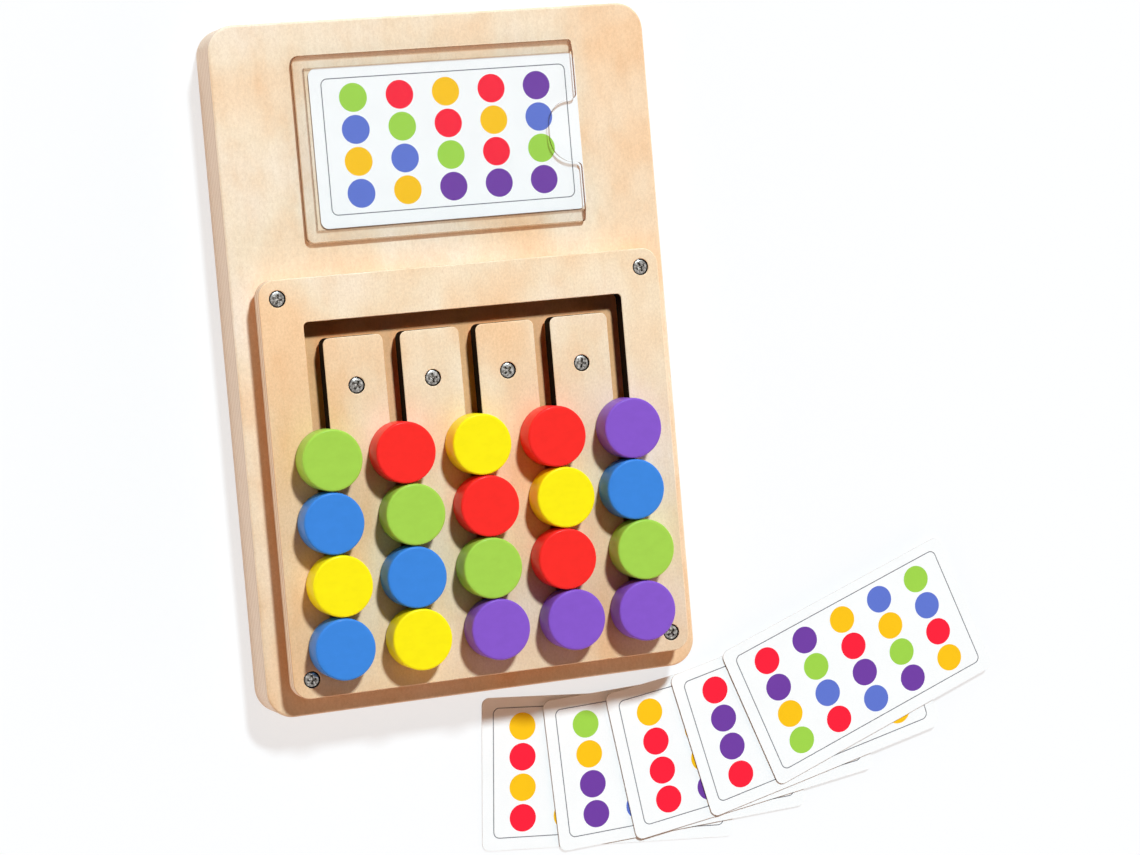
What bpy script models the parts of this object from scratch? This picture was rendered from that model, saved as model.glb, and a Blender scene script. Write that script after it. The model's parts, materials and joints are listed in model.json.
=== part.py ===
"""Sliding colour matching puzzle: a wooden board with twenty painted knobs held captive in a comb of slots,
a clear holder for the pattern to match, and a few spare pattern cards lying beside it.

The board lies on its back. The origin is the middle of its back face, +X points to the right across the
slots, +Y points along them to the card holder, and +Z points out of the face. All lengths are in metres.
"""

import math

import bmesh
import bpy
from mathutils import Matrix, Vector

# Clearances shared by all pieces
CLEARANCE = 0.0003
OVERRUN = 0.001
WELD_DISTANCE = 0.0000005

# How many columns and rows of knobs
COLUMNS = 5
ROWS = 4

# Knobs: a painted cap on a turned foot, whose flange runs under the comb panel
KNOB_DIAMETER = 0.0267
KNOB_HEIGHT = 0.012
KNOB_EDGE_ROUNDING = 0.0009
KNOB_GAP = 0.0004
KNOB_SIDE_GAP = 0.0079
KNOB_LIFT = 0.0005
KNOB_TRAVEL = 0.057
STEM_DIAMETER = 0.0042
STEM_GRIP = 0.006
FLANGE_DIAMETER = 0.013
FLANGE_PLAY = 0.0003

# Comb panel, the layer with the slots
PANEL_THICKNESS = 0.007
PANEL_EDGE_ROUNDING = 0.0005
PANEL_CORNER_RADIUS = 0.0075
PANEL_SIDE_BORDER = 0.0188
PANEL_TOP_BORDER = 0.0193
PANEL_BOTTOM_BORDER = 0.0171
PANEL_SHIFT = 0.0008
SLOT_WIDTH = 0.0076
CHANNEL_WIDTH = 0.0076
OPENING_CORNER_RADIUS = 0.002
FINGER_CORNER_RADIUS = 0.003

# Layers under the comb panel
SPACER_THICKNESS = 0.002
FLOOR_THICKNESS = 0.0032
LAYER_SETBACK = 0.0015

# Base board
BOARD_THICKNESS = 0.023
BOARD_CORNER_RADIUS = 0.012
BOARD_EDGE_ROUNDING = 0.0012
BOARD_SIDE_MARGIN = 0.0082
PANEL_FROM_BOTTOM = 0.0088
HOLDER_FROM_PANEL = 0.0141
HOLDER_FROM_TOP = 0.015

# Screws through the panel and its layers into the board
SCREW_HEAD_DIAMETER = 0.0068
SCREW_HEAD_RIM = 0.0003
SCREW_HEAD_HEIGHT = 0.0022
SCREW_SHANK_DIAMETER = 0.0034
SCREW_LENGTH = 0.022
SCREW_TIP_LENGTH = 0.004
SCREW_RECESS = 0.0004
SCREW_INSET = 0.0083
SCREW_FROM_FINGER_TOP = 0.0214
CROSS_REACH = 0.0021
CROSS_ARM_WIDTH = 0.001
CROSS_DEPTH = 0.0013

# Pattern cards and the clear holder that shows one of them
CARD_WIDTH = 0.1228
CARD_HEIGHT = 0.0695
CARD_THICKNESS = 0.0005
CARD_CORNER_RADIUS = 0.0035
CARD_PLAY = 0.0003
CARD_END_GAP = 0.0018
CARD_PROUD = 0.0014
RIM_WIDTH = 0.0055
RIM_THICKNESS = 0.0012
RIM_CORNER_RADIUS = 0.003
RIM_END_RADIUS = 0.0015
COVER_THICKNESS = 0.0018
COVER_EDGE = 0.0006
COVER_SLOPE_WIDTH = 0.0048
COVER_TOP_CORNER_RADIUS = 0.001
NOTCH_WIDTH = 0.028
NOTCH_DEPTH = 0.014
NOTCH_CORNER_RADIUS = 0.0115
NOTCH_MOUTH_RADIUS = 0.0024

# Faces along each quarter round, and around each turned piece
CORNER_STEPS = 6
SLOT_STEPS = 4
EDGE_STEPS = 2
CAP_SEGMENTS = 24
FOOT_SEGMENTS = 16
SCREW_SEGMENTS = 16

# How the cross in a screw head narrows towards its floor
CROSS_FLOOR_share = 0.45

# Colours of the knobs at rest, top row first, and how far each leans sideways in its slot, as a share of
# its play there
KNOB_COLOURS = (
    ("green", "red", "yellow", "red", "purple"),
    ("blue", "green", "red", "yellow", "blue"),
    ("yellow", "blue", "green", "red", "green"),
    ("blue", "yellow", "purple", "purple", "purple"),
)
KNOB_LEAN_shares = (
    (0.2, -1, -1, -1, -0.15),
    (-1, 0.35, -0.15, 0.25, -0.95),
    (-0.05, -1, -1, -1, 0.7),
    (-1, -1, -0.15, 0.25, -0.55),
)

# Loose cards: the upper left corner of each, as a share of the board's width right of its middle and of a
# card's height below its lower edge, and the turn in degrees
LOOSE_CARD_shares = ((0.02, 0.09), (0.162, 0.165), (0.312, 0.175), (0.472, 0.115), (0.602, 0.005))
LOOSE_CARD_TURNS = (-5, 2, 8, 13, 20)

# Finishes: colour, roughness, metallic, opacity
FINISHES = {
    "wood_board": ((0.84, 0.70, 0.52), 0.55, 0, 1),
    "wood_panel": ((0.87, 0.73, 0.54), 0.55, 0, 1),
    "wood_layer": ((0.70, 0.52, 0.34), 0.7, 0, 1),
    "wood_turned": ((0.80, 0.64, 0.44), 0.6, 0, 1),
    "screw_steel": ((0.32, 0.31, 0.30), 0.35, 1, 1),
    "clear_plastic": ((0.95, 0.97, 0.98), 0.08, 0, 0.25),
    "card_white": ((0.95, 0.95, 0.95), 0.45, 0, 1),
    "green": ((0.40, 0.65, 0.09), 0.3, 0, 1),
    "blue": ((0.06, 0.25, 0.71), 0.3, 0, 1),
    "yellow": ((1.0, 0.85, 0.01), 0.3, 0, 1),
    "red": ((0.99, 0.04, 0.03), 0.3, 0, 1),
    "purple": ((0.26, 0.11, 0.58), 0.3, 0, 1),
}

# Places along the stack, from the back of the board to the top of the knobs
floor_low = BOARD_THICKNESS + CLEARANCE
floor_high = floor_low + FLOOR_THICKNESS
spacer_low = floor_high + CLEARANCE
spacer_high = spacer_low + SPACER_THICKNESS
panel_low = spacer_high + CLEARANCE
panel_high = panel_low + PANEL_THICKNESS
foot_low = floor_high + CLEARANCE
cap_low = panel_high + KNOB_LIFT
flange_thickness = SPACER_THICKNESS - FLANGE_PLAY

# Pitches and play of the knobs
column_pitch = KNOB_DIAMETER + KNOB_SIDE_GAP
row_pitch = KNOB_DIAMETER + KNOB_GAP
stem_play = SLOT_WIDTH / 2 - STEM_DIAMETER / 2 - CLEARANCE
undercut = FLANGE_DIAMETER / 2 - STEM_DIAMETER / 2

# Sizes across and along the board, which follow from what it carries
panel_width = (COLUMNS - 1) * column_pitch + SLOT_WIDTH + 2 * PANEL_SIDE_BORDER
knob_column = (ROWS - 1) * row_pitch
opening_length = SLOT_WIDTH / 2 + knob_column + KNOB_TRAVEL + STEM_DIAMETER / 2 + CLEARANCE
panel_length = PANEL_BOTTOM_BORDER + opening_length + PANEL_TOP_BORDER
holder_width = RIM_WIDTH + CARD_END_GAP + CARD_WIDTH - CARD_PROUD
holder_height = CARD_HEIGHT + 2 * CARD_PLAY + 2 * RIM_WIDTH
board_width = panel_width + 2 * BOARD_SIDE_MARGIN
board_length = PANEL_FROM_BOTTOM + panel_length + HOLDER_FROM_PANEL + holder_height + HOLDER_FROM_TOP

# Places along the board
board_foot = -board_length / 2
panel_foot = board_foot + PANEL_FROM_BOTTOM
panel_head = panel_foot + panel_length
slot_foot = panel_foot + PANEL_BOTTOM_BORDER
opening_head = slot_foot + opening_length
finger_head = opening_head - CHANNEL_WIDTH
lowest_knob = slot_foot + SLOT_WIDTH / 2
holder_foot = panel_head + HOLDER_FROM_PANEL
holder_head = holder_foot + holder_height
holder_right = holder_width / 2
holder_left = -holder_width / 2


def column_x(column):
    """Middle of a slot, counted from the left."""
    return PANEL_SHIFT + (column - (COLUMNS - 1) / 2) * column_pitch


def screw_places():
    """Middle of each screw on the face: the four corners, then one near the top of each finger."""
    across = panel_width / 2 - SCREW_INSET
    places = [
        (PANEL_SHIFT + side * across, y)
        for y in (panel_foot + SCREW_INSET, panel_head - SCREW_INSET)
        for side in (-1, 1)
    ]
    for column in range(COLUMNS - 1):
        middle = (column_x(column) + column_x(column + 1)) / 2
        places.append((middle, finger_head - SCREW_FROM_FINGER_TOP))
    return places


def filleted(corners, steps):
    """An outline through the corners, each given as x, y and the radius that rounds it."""
    outline = []
    for index, (x, y, radius) in enumerate(corners):
        here = Vector((x, y))
        back = (Vector(corners[index - 1][:2]) - here).normalized()
        ahead = (Vector(corners[(index + 1) % len(corners)][:2]) - here).normalized()
        half_angle = back.angle(ahead) / 2
        centre = here + (back + ahead).normalized() * radius / math.sin(half_angle)
        first = here + back * radius / math.tan(half_angle) - centre
        sweep = first.angle_signed(here + ahead * radius / math.tan(half_angle) - centre) if radius else 0
        for step in range(steps + 1 if radius else 1):
            point = centre + Matrix.Rotation(-sweep * step / steps, 2) @ first
            if not outline or (point - outline[-1]).length > WELD_DISTANCE:
                outline.append(point)
    return outline


def rounded_box(left, right, foot, head, radius, grow):
    """A rectangle with round corners, grown outwards by grow."""
    corner = radius + grow
    return filleted(
        [
            (left - grow, foot - grow, corner),
            (right + grow, foot - grow, corner),
            (right + grow, head + grow, corner),
            (left - grow, head + grow, corner),
        ],
        CORNER_STEPS,
    )


def board_outline(grow):
    return rounded_box(
        -board_width / 2, board_width / 2, board_foot, -board_foot, BOARD_CORNER_RADIUS, grow
    )


def panel_outline(grow):
    half = panel_width / 2
    return rounded_box(
        PANEL_SHIFT - half, PANEL_SHIFT + half, panel_foot, panel_head, PANEL_CORNER_RADIUS, grow
    )


def layer_outline(grow):
    """The floor and the spacer stop short of the comb panel's edge."""
    return panel_outline(grow - LAYER_SETBACK)


def comb_opening(grow):
    """Five slots with round feet, joined by a channel across their heads."""
    half = SLOT_WIDTH / 2 + grow
    head = opening_head + grow
    fingers = finger_head - grow
    foot = slot_foot - grow
    open_radius = OPENING_CORNER_RADIUS + grow
    finger_radius = FINGER_CORNER_RADIUS
    corners = [(column_x(0) - half, head, open_radius)]
    for column in range(COLUMNS):
        x = column_x(column)
        if column > 0:
            corners.append((x - half, fingers, finger_radius))
        corners.append((x - half, foot, half))
        corners.append((x + half, foot, half))
        if column < COLUMNS - 1:
            corners.append((x + half, fingers, finger_radius))
    corners.append((column_x(COLUMNS - 1) + half, head, open_radius))
    return filleted(corners, SLOT_STEPS)


def undercut_opening(grow):
    """The comb's opening in the spacer, wide enough for the flanges."""
    return comb_opening(grow + undercut)


def rim_outline(grow):
    """A U that opens to the right, under the edge of the clear cover."""
    inner_foot = holder_foot + RIM_WIDTH
    inner_head = holder_head - RIM_WIDTH
    inner_left = holder_left + RIM_WIDTH
    return filleted(
        [
            (holder_right + grow, holder_foot - grow, RIM_END_RADIUS),
            (holder_right + grow, inner_foot + grow, 0),
            (inner_left + grow, inner_foot + grow, CARD_PLAY),
            (inner_left + grow, inner_head - grow, CARD_PLAY),
            (holder_right + grow, inner_head - grow, 0),
            (holder_right + grow, holder_head + grow, RIM_END_RADIUS),
            (holder_left - grow, holder_head + grow, RIM_CORNER_RADIUS),
            (holder_left - grow, holder_foot - grow, RIM_CORNER_RADIUS),
        ],
        SLOT_STEPS,
    )


def cover_outline(grow):
    """The clear cover, with a notch for a thumb on the right. Its other three sides grow outwards by grow."""
    left_radius = COVER_TOP_CORNER_RADIUS if grow else RIM_CORNER_RADIUS
    right_radius = COVER_TOP_CORNER_RADIUS if grow else RIM_END_RADIUS
    middle = (holder_foot + holder_head) / 2
    notch_foot = middle - NOTCH_WIDTH / 2
    notch_head = middle + NOTCH_WIDTH / 2
    return filleted(
        [
            (holder_right, holder_foot - grow, right_radius),
            (holder_right, notch_foot, NOTCH_MOUTH_RADIUS),
            (holder_right - NOTCH_DEPTH, notch_foot, NOTCH_CORNER_RADIUS),
            (holder_right - NOTCH_DEPTH, notch_head, NOTCH_CORNER_RADIUS),
            (holder_right, notch_head, NOTCH_MOUTH_RADIUS),
            (holder_right, holder_head + grow, right_radius),
            (holder_left - grow, holder_head + grow, left_radius),
            (holder_left - grow, holder_foot - grow, left_radius),
        ],
        SLOT_STEPS,
    )


def card_outline(grow):
    """A card about its own middle."""
    return rounded_box(
        -CARD_WIDTH / 2, CARD_WIDTH / 2, -CARD_HEIGHT / 2, CARD_HEIGHT / 2, CARD_CORNER_RADIUS, grow
    )


def finish(name):
    """The material of that name, made once."""
    material = bpy.data.materials.get(name)
    if material:
        return material
    colour, roughness, metallic, opacity = FINISHES[name]
    material = bpy.data.materials.new(name)
    material.use_nodes = True
    shader = material.node_tree.nodes["Principled BSDF"]
    shader.inputs["Base Color"].default_value = (*colour, 1)
    shader.inputs["Roughness"].default_value = roughness
    shader.inputs["Metallic"].default_value = metallic
    shader.inputs["Alpha"].default_value = opacity
    material.diffuse_color = (*colour, opacity)
    return material


def place(name, mesh, location=(0, 0, 0), turn=0, parent=None):
    """An object of this mesh in the scene, turned about +Z by so many radians."""
    obj = bpy.data.objects.new(name, mesh)
    obj.location = location
    obj.rotation_euler = (0, 0, turn)
    obj.parent = parent
    bpy.context.scene.collection.objects.link(obj)
    return obj


def finished_mesh(name, bm, material, smooth=False):
    """The bmesh as a mesh with its faces pointing out."""
    bmesh.ops.recalc_face_normals(bm, faces=bm.faces[:])
    mesh = bpy.data.meshes.new(name)
    bm.to_mesh(mesh)
    bm.free()
    mesh.materials.append(finish(material))
    if smooth:
        mesh.shade_smooth()
        mesh.set_sharp_from_angle(angle=math.radians(40))
    return mesh


def stack_rings(bm, rings):
    """Vertices of each ring of points, with a wall between each ring and the next."""
    rows = [[bm.verts.new(point) for point in ring] for ring in rings]
    for lower, upper in zip(rows, rows[1:]):
        for index in range(len(lower)):
            bm.faces.new((lower[index - 1], lower[index], upper[index], upper[index - 1]))
    return rows


def close_ends(bm, walls):
    """Fills the first rings of all the walls with one flat face, and the last rings with another."""
    for end in (0, -1):
        edges = []
        for rows in walls:
            ring = rows[end]
            edges += [bm.edges.get((ring[index - 1], ring[index])) for index in range(len(ring))]
        bmesh.ops.triangle_fill(bm, use_beauty=True, edges=edges)


def quarter_round(radius):
    """How far each point of a quarter round lies above its foot and inside its wall."""
    turns = [math.pi / 2 * step / EDGE_STEPS for step in range(EDGE_STEPS + 1)]
    return [(radius * math.sin(turn), radius * (1 - math.cos(turn))) for turn in turns]


def square_levels(low, high):
    """Heights from low to high, each with how far the outline is drawn in there."""
    return [(low, 0), (high, 0)]


def eased_levels(low, high, radius):
    """The same for a sheet whose upper edges are rounded."""
    return [(low, 0)] + [(high - radius + rise, draw) for rise, draw in quarter_round(radius)]


def rounded_levels(low, high, radius):
    """The same for a sheet with both edges rounded."""
    lower = [(low + radius - rise, draw) for rise, draw in quarter_round(radius)]
    return lower[::-1] + eased_levels(low, high, radius)[1:]


def plate(name, material, levels, outline, holes=()):
    """A sheet with this outline and these holes through it."""
    bm = bmesh.new()
    walls = []
    for shape, side in [(outline, -1)] + [(hole, 1) for hole in holes]:
        rings = [[(*point, z) for point in shape(side * draw)] for z, draw in levels]
        walls.append(stack_rings(bm, rings))
    close_ends(bm, walls)
    return place(name, finished_mesh(name, bm, material))


def turned_bmesh(profile, segments):
    """A solid of revolution about +Z from points of radius and height, from axis to axis."""
    bm = bmesh.new()
    points = [bm.verts.new((radius, 0, height)) for radius, height in profile]
    edges = [bm.edges.new(pair) for pair in zip(points, points[1:])]
    bmesh.ops.spin(
        bm,
        geom=points + edges,
        cent=(0, 0, 0),
        axis=(0, 0, 1),
        angle=math.tau,
        steps=segments,
        use_merge=True,
    )
    bmesh.ops.remove_doubles(bm, verts=bm.verts[:], dist=WELD_DISTANCE)
    return bm


def turned_mesh(name, material, profile, segments):
    return finished_mesh(name, turned_bmesh(profile, segments), material, smooth=True)


def cut(obj, cutter):
    """Takes the cutter's solids out of the object."""
    modifier = obj.modifiers.new("cut_" + cutter.name, "BOOLEAN")
    modifier.operation = "DIFFERENCE"
    modifier.solver = "EXACT"
    modifier.object = cutter


def hide_cutter(obj):
    obj.hide_render = True
    obj.display_type = "WIRE"
    return obj


def clear_scene():
    for obj in list(bpy.data.objects):
        bpy.data.objects.remove(obj, do_unlink=True)


def screw_profile(spare):
    """Half of a countersunk screw, from its tip to its face, made bigger all round by spare."""
    shank = SCREW_SHANK_DIAMETER / 2 + spare
    head = SCREW_HEAD_DIAMETER / 2 + spare
    return [
        (0, -SCREW_LENGTH - spare),
        (shank, -SCREW_LENGTH + SCREW_TIP_LENGTH - spare),
        (shank, -SCREW_HEAD_HEIGHT - spare),
        (head, -SCREW_HEAD_RIM - spare),
        (head, 0),
    ]


def make_screw_holes():
    """One cutter with a screw's shape at each screw's place, open above the panel's face."""
    face = panel_high - SCREW_RECESS
    mouth = SCREW_RECESS + OVERRUN
    profile = screw_profile(CLEARANCE)
    profile += [(profile[-1][0], mouth), (0, mouth)]
    bm = bmesh.new()
    for x, y in screw_places():
        hole = turned_bmesh(profile, SCREW_SEGMENTS)
        bmesh.ops.translate(hole, verts=hole.verts[:], vec=(x, y, face))
        mesh = bpy.data.meshes.new("screw_hole")
        hole.to_mesh(mesh)
        hole.free()
        bm.from_mesh(mesh)
    return hide_cutter(place("screw_holes", finished_mesh("screw_holes", bm, "screw_steel")))


def cross_outline(scale):
    """A plus sign, drawn at a share of the cross's full size."""
    reach = CROSS_REACH * scale
    arm = CROSS_ARM_WIDTH / 2 * scale
    quarter = [(reach, -arm), (reach, arm), (arm, arm)]
    turns = [Matrix.Rotation(math.pi / 2 * index, 2) for index in range(4)]
    return [turn @ Vector(point) for turn in turns for point in quarter]


def make_screw_mesh():
    """A countersunk screw with a tapered cross in its head. Its face is at z = 0."""
    bm = bmesh.new()
    rings = [
        [(*point, -CROSS_DEPTH) for point in cross_outline(CROSS_FLOOR_share)],
        [(*point, 0) for point in cross_outline(1)],
        [(*point, OVERRUN) for point in cross_outline(1)],
    ]
    close_ends(bm, [stack_rings(bm, rings)])
    cross = hide_cutter(place("screw_cross", finished_mesh("screw_cross", bm, "screw_steel")))
    blank = turned_mesh("screw_blank", "screw_steel", screw_profile(0) + [(0, 0)], SCREW_SEGMENTS)
    blank_object = place("screw_blank", blank)
    cut(blank_object, cross)
    bpy.context.view_layer.update()
    graph = bpy.context.evaluated_depsgraph_get()
    mesh = bpy.data.meshes.new_from_object(blank_object.evaluated_get(graph))
    mesh.name = "screw"
    bpy.data.objects.remove(blank_object)
    bpy.data.objects.remove(cross)
    return mesh


def make_screws():
    mesh = make_screw_mesh()
    corners = ("corner_screw_bottom_left", "corner_screw_bottom_right", "corner_screw_top_left")
    names = [*corners, "corner_screw_top_right"]
    names += [f"finger_screw_{number}" for number in range(1, COLUMNS)]
    for name, (x, y) in zip(names, screw_places()):
        place(name, mesh, (x, y, panel_high - SCREW_RECESS))


def make_board_and_layers():
    """The base board, and on it the floor, the spacer and the comb panel, held by the same screws."""
    board_levels = rounded_levels(0, BOARD_THICKNESS, BOARD_EDGE_ROUNDING)
    floor_levels = square_levels(floor_low, floor_high)
    spacer_levels = square_levels(spacer_low, spacer_high)
    panel_levels = eased_levels(panel_low, panel_high, PANEL_EDGE_ROUNDING)
    plates = [
        plate("base_board", "wood_board", board_levels, board_outline),
        plate("floor_sheet", "wood_layer", floor_levels, layer_outline),
        plate("spacer_layer", "wood_layer", spacer_levels, layer_outline, [undercut_opening]),
        plate("comb_panel", "wood_panel", panel_levels, panel_outline, [comb_opening]),
    ]
    holes = make_screw_holes()
    for obj in plates:
        cut(obj, holes)


def cap_profile():
    """Half of a cap, from the floor of its bore, out over its underside and up to its face."""
    bore = STEM_DIAMETER / 2 + CLEARANCE
    radius = KNOB_DIAMETER / 2
    profile = [(0, STEM_GRIP + CLEARANCE), (bore, STEM_GRIP + CLEARANCE), (bore, 0), (radius, 0)]
    shoulder = KNOB_HEIGHT - KNOB_EDGE_ROUNDING
    profile += [(radius - inward, shoulder + rise) for rise, inward in quarter_round(KNOB_EDGE_ROUNDING)]
    return profile + [(0, KNOB_HEIGHT)]


def foot_profile():
    """Half of a foot: a flange with a stem on it that ends in the cap."""
    flange = FLANGE_DIAMETER / 2
    stem = STEM_DIAMETER / 2
    top = cap_low - foot_low + STEM_GRIP
    return [(0, 0), (flange, 0), (flange, flange_thickness), (stem, flange_thickness), (stem, top), (0, top)]


def make_knobs():
    """Each knob is a cap and a foot on an empty at its own axis. Letters name columns, numbers name rows."""
    foot = turned_mesh("knob_foot", "wood_turned", foot_profile(), FOOT_SEGMENTS)
    colours = sorted({colour for row in KNOB_COLOURS for colour in row})
    caps = {name: turned_mesh("cap_" + name, name, cap_profile(), CAP_SEGMENTS) for name in colours}
    for row in range(ROWS):
        y = lowest_knob + (ROWS - 1 - row) * row_pitch
        for column in range(COLUMNS):
            name = f"knob_{'abcdefgh'[column]}{row + 1}"
            x = column_x(column) + KNOB_LEAN_shares[row][column] * stem_play
            axis = place(name, None, (x, y, 0))
            place(name + "_cap", caps[KNOB_COLOURS[row][column]], (0, 0, cap_low), parent=axis)
            place(name + "_foot", foot, (0, 0, foot_low), parent=axis)


def make_holder():
    """A clear U on the board's face, and on it the clear cover with its sloping edge."""
    rim_low = BOARD_THICKNESS + CLEARANCE
    rim_high = rim_low + RIM_THICKNESS
    cover_low = rim_high + CLEARANCE
    edge_high = cover_low + COVER_EDGE
    cover_high = cover_low + COVER_THICKNESS
    plate("holder_rim", "clear_plastic", square_levels(rim_low, rim_high), rim_outline)
    sloping_levels = [(cover_low, 0), (edge_high, 0), (cover_high, COVER_SLOPE_WIDTH)]
    plate("holder_cover", "clear_plastic", sloping_levels, cover_outline)


def make_cards():
    """The card in the holder, and the spare cards fanned out below and to the right of the board."""
    card = plate("pattern_card", "card_white", square_levels(0, CARD_THICKNESS), card_outline)
    card.location = (
        holder_right + CARD_PROUD - CARD_WIDTH / 2,
        (holder_foot + holder_head) / 2,
        BOARD_THICKNESS + CLEARANCE,
    )
    for number, (share, turn) in enumerate(zip(LOOSE_CARD_shares, LOOSE_CARD_TURNS)):
        corner = Vector((share[0] * board_width, board_foot - share[1] * CARD_HEIGHT))
        turn = math.radians(turn)
        middle = corner + Matrix.Rotation(turn, 2) @ Vector((CARD_WIDTH / 2, -CARD_HEIGHT / 2))
        level = number * (CARD_THICKNESS + CLEARANCE)
        place(f"loose_card_{number + 1}", card.data, (*middle, level), turn)


clear_scene()
make_board_and_layers()
make_screws()
make_knobs()
make_holder()
make_cards()
print(f"board {board_width:.4f} by {board_length:.4f} m, {len(bpy.data.objects)} objects")
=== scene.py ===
# %% [markdown]
# # A sliding colour matching puzzle
#
# The toy is a thick birch board that carries a thinner panel with five slots. Twenty painted knobs slide
# in the slots, and a clear holder near the top shows a card with the pattern to match. This lesson dresses
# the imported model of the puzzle: bmesh operators make the shapes, and shader nodes make the finishes.

# %% Load the frame
import json
import math

import bmesh
import bpy
from mathutils import Matrix, Vector


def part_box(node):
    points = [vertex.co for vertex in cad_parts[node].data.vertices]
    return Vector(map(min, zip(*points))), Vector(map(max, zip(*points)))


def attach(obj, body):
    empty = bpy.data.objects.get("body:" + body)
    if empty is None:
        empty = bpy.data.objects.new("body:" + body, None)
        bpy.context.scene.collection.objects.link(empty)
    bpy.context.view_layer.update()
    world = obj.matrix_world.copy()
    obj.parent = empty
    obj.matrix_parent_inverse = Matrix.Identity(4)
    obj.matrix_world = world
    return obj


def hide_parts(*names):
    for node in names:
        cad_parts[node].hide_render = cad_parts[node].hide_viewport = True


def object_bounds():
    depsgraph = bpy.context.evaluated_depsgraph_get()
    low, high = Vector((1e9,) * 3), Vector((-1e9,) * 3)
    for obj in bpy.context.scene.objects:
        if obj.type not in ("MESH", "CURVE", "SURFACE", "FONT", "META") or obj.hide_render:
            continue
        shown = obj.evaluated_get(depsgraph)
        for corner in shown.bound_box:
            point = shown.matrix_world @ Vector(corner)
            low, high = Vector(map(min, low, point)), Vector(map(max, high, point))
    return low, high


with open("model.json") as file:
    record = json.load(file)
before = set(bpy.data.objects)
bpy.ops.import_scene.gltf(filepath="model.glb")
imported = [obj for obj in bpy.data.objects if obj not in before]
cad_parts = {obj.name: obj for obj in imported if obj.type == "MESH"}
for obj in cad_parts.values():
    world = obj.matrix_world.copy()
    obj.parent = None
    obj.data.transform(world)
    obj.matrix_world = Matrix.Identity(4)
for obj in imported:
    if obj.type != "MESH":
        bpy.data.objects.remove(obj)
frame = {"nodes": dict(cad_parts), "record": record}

cad_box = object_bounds()
scene = bpy.context.scene
MM = 0.001

# %% [markdown]
# ## The camera
#
# A long lens flattens a product photo, so the camera stands well back, a little to the left, and leans. A
# Track To constraint could aim it, but it always keeps the camera level. Here its three directions are
# worked out with cross products, so that its top points along the board, and then it is rolled about its
# own view.

# %% Camera
CAMERA_PLACE = Vector((-0.4107, 0.0427, 1.3158))
CAMERA_AIM = Vector((0.0492, -0.0373, 0.023))
CAMERA_ROLL = math.radians(-4.92)
LENS_MM = 97.1
SENSOR_MM = 36

backward = (CAMERA_PLACE - CAMERA_AIM).normalized()
rightward = Vector((0, 1, 0)).cross(backward).normalized()
upward = backward.cross(rightward)
level = Matrix((rightward, upward, backward)).transposed()
turned = level @ Matrix.Rotation(CAMERA_ROLL, 3, "Z")

camera = bpy.data.objects.new("camera", bpy.data.cameras.new("camera"))
camera.data.lens = LENS_MM
camera.data.sensor_width = SENSOR_MM
camera.matrix_world = Matrix.Translation(CAMERA_PLACE) @ turned.to_4x4()
scene.collection.objects.link(camera)
scene.camera = camera
print("camera", round((CAMERA_PLACE - CAMERA_AIM).length, 3), "m from its aim")

# %% [markdown]
# ## Helpers for shader nodes
#
# A finish is a small tree of nodes. It could be wired by hand in the Shader Editor, but a recipe in words
# can be read and changed. One helper adds any node and wires it. The others make the nodes that every
# finish here needs: the place of a point on its piece, noise whose patches have a real size, a colour
# ramp, a mix of two colours, and plain sums. The cell after them makes a material, wires a colour, a
# roughness and a height into it, and turns a colour as a screen shows it into the linear one that a shader
# takes.


# %% Node helpers
def add(tree, kind, *wires, **settings):
    """A new node. Each wire is an input and the value or the output that it takes."""
    node = tree.nodes.new("ShaderNode" + kind)
    for name, value in settings.items():
        setattr(node, name, value)
    for socket, value in wires:
        if isinstance(value, bpy.types.NodeSocket):
            tree.links.new(value, node.inputs[socket])
        else:
            node.inputs[socket].default_value = value
    return node


def place_on_piece(tree):
    """The X, Y and Z of a point on the object, in metres."""
    place = add(tree, "TexCoord").outputs["Object"]
    return add(tree, "SeparateXYZ", ("Vector", place)).outputs


def patches(tree, size, detail=2.0, roughness=0.5, shift=0.0):
    """Noise from 0 to 1 whose patches are this many millimetres big along X, Y and Z."""
    place = add(tree, "TexCoord").outputs["Object"]
    scale = [1 / (side * MM) for side in size]
    moved = add(tree, "Mapping", ("Vector", place), ("Scale", scale), ("Location", (shift, shift, shift)))
    noise = add(
        tree,
        "TexNoise",
        ("Vector", moved.outputs[0]),
        ("Scale", 1.0),
        ("Detail", detail),
        ("Roughness", roughness),
    )
    return noise.outputs["Fac"]


def ramp(tree, factor, *stops):
    """Colours along a factor. Each stop is a place from 0 to 1 and a colour or a grey."""
    node = add(tree, "ValToRGB", ("Fac", factor))
    elements = node.color_ramp.elements
    while len(elements) < len(stops):
        elements.new(1.0)
    for element, (place, colour) in zip(elements, stops):
        red, green, blue = colour if isinstance(colour, tuple) else (colour, colour, colour)
        element.position = place
        element.color = (red, green, blue, 1)
    return node.outputs["Color"]


def mix(tree, factor, first, second, blend="MIX"):
    """Two colours mixed, or combined in another way, by a factor."""
    node = tree.nodes.new("ShaderNodeMix")
    node.data_type = "RGBA"
    node.blend_type = blend
    for socket, value in ((0, factor), (6, first), (7, second)):
        if isinstance(value, bpy.types.NodeSocket):
            tree.links.new(value, node.inputs[socket])
        elif socket == 0:
            node.inputs[socket].default_value = value
        else:
            node.inputs[socket].default_value = (*value, 1)
    return node.outputs[2]


def multiply(tree, first, second):
    """The product of two colours, which lays a tone over a colour."""
    return mix(tree, 1.0, first, second, "MULTIPLY")


def calculate(tree, operation, *values):
    """One step of arithmetic on numbers or outputs."""
    return add(tree, "Math", *enumerate(values), operation=operation).outputs[0]


print("node helpers ready")


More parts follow.
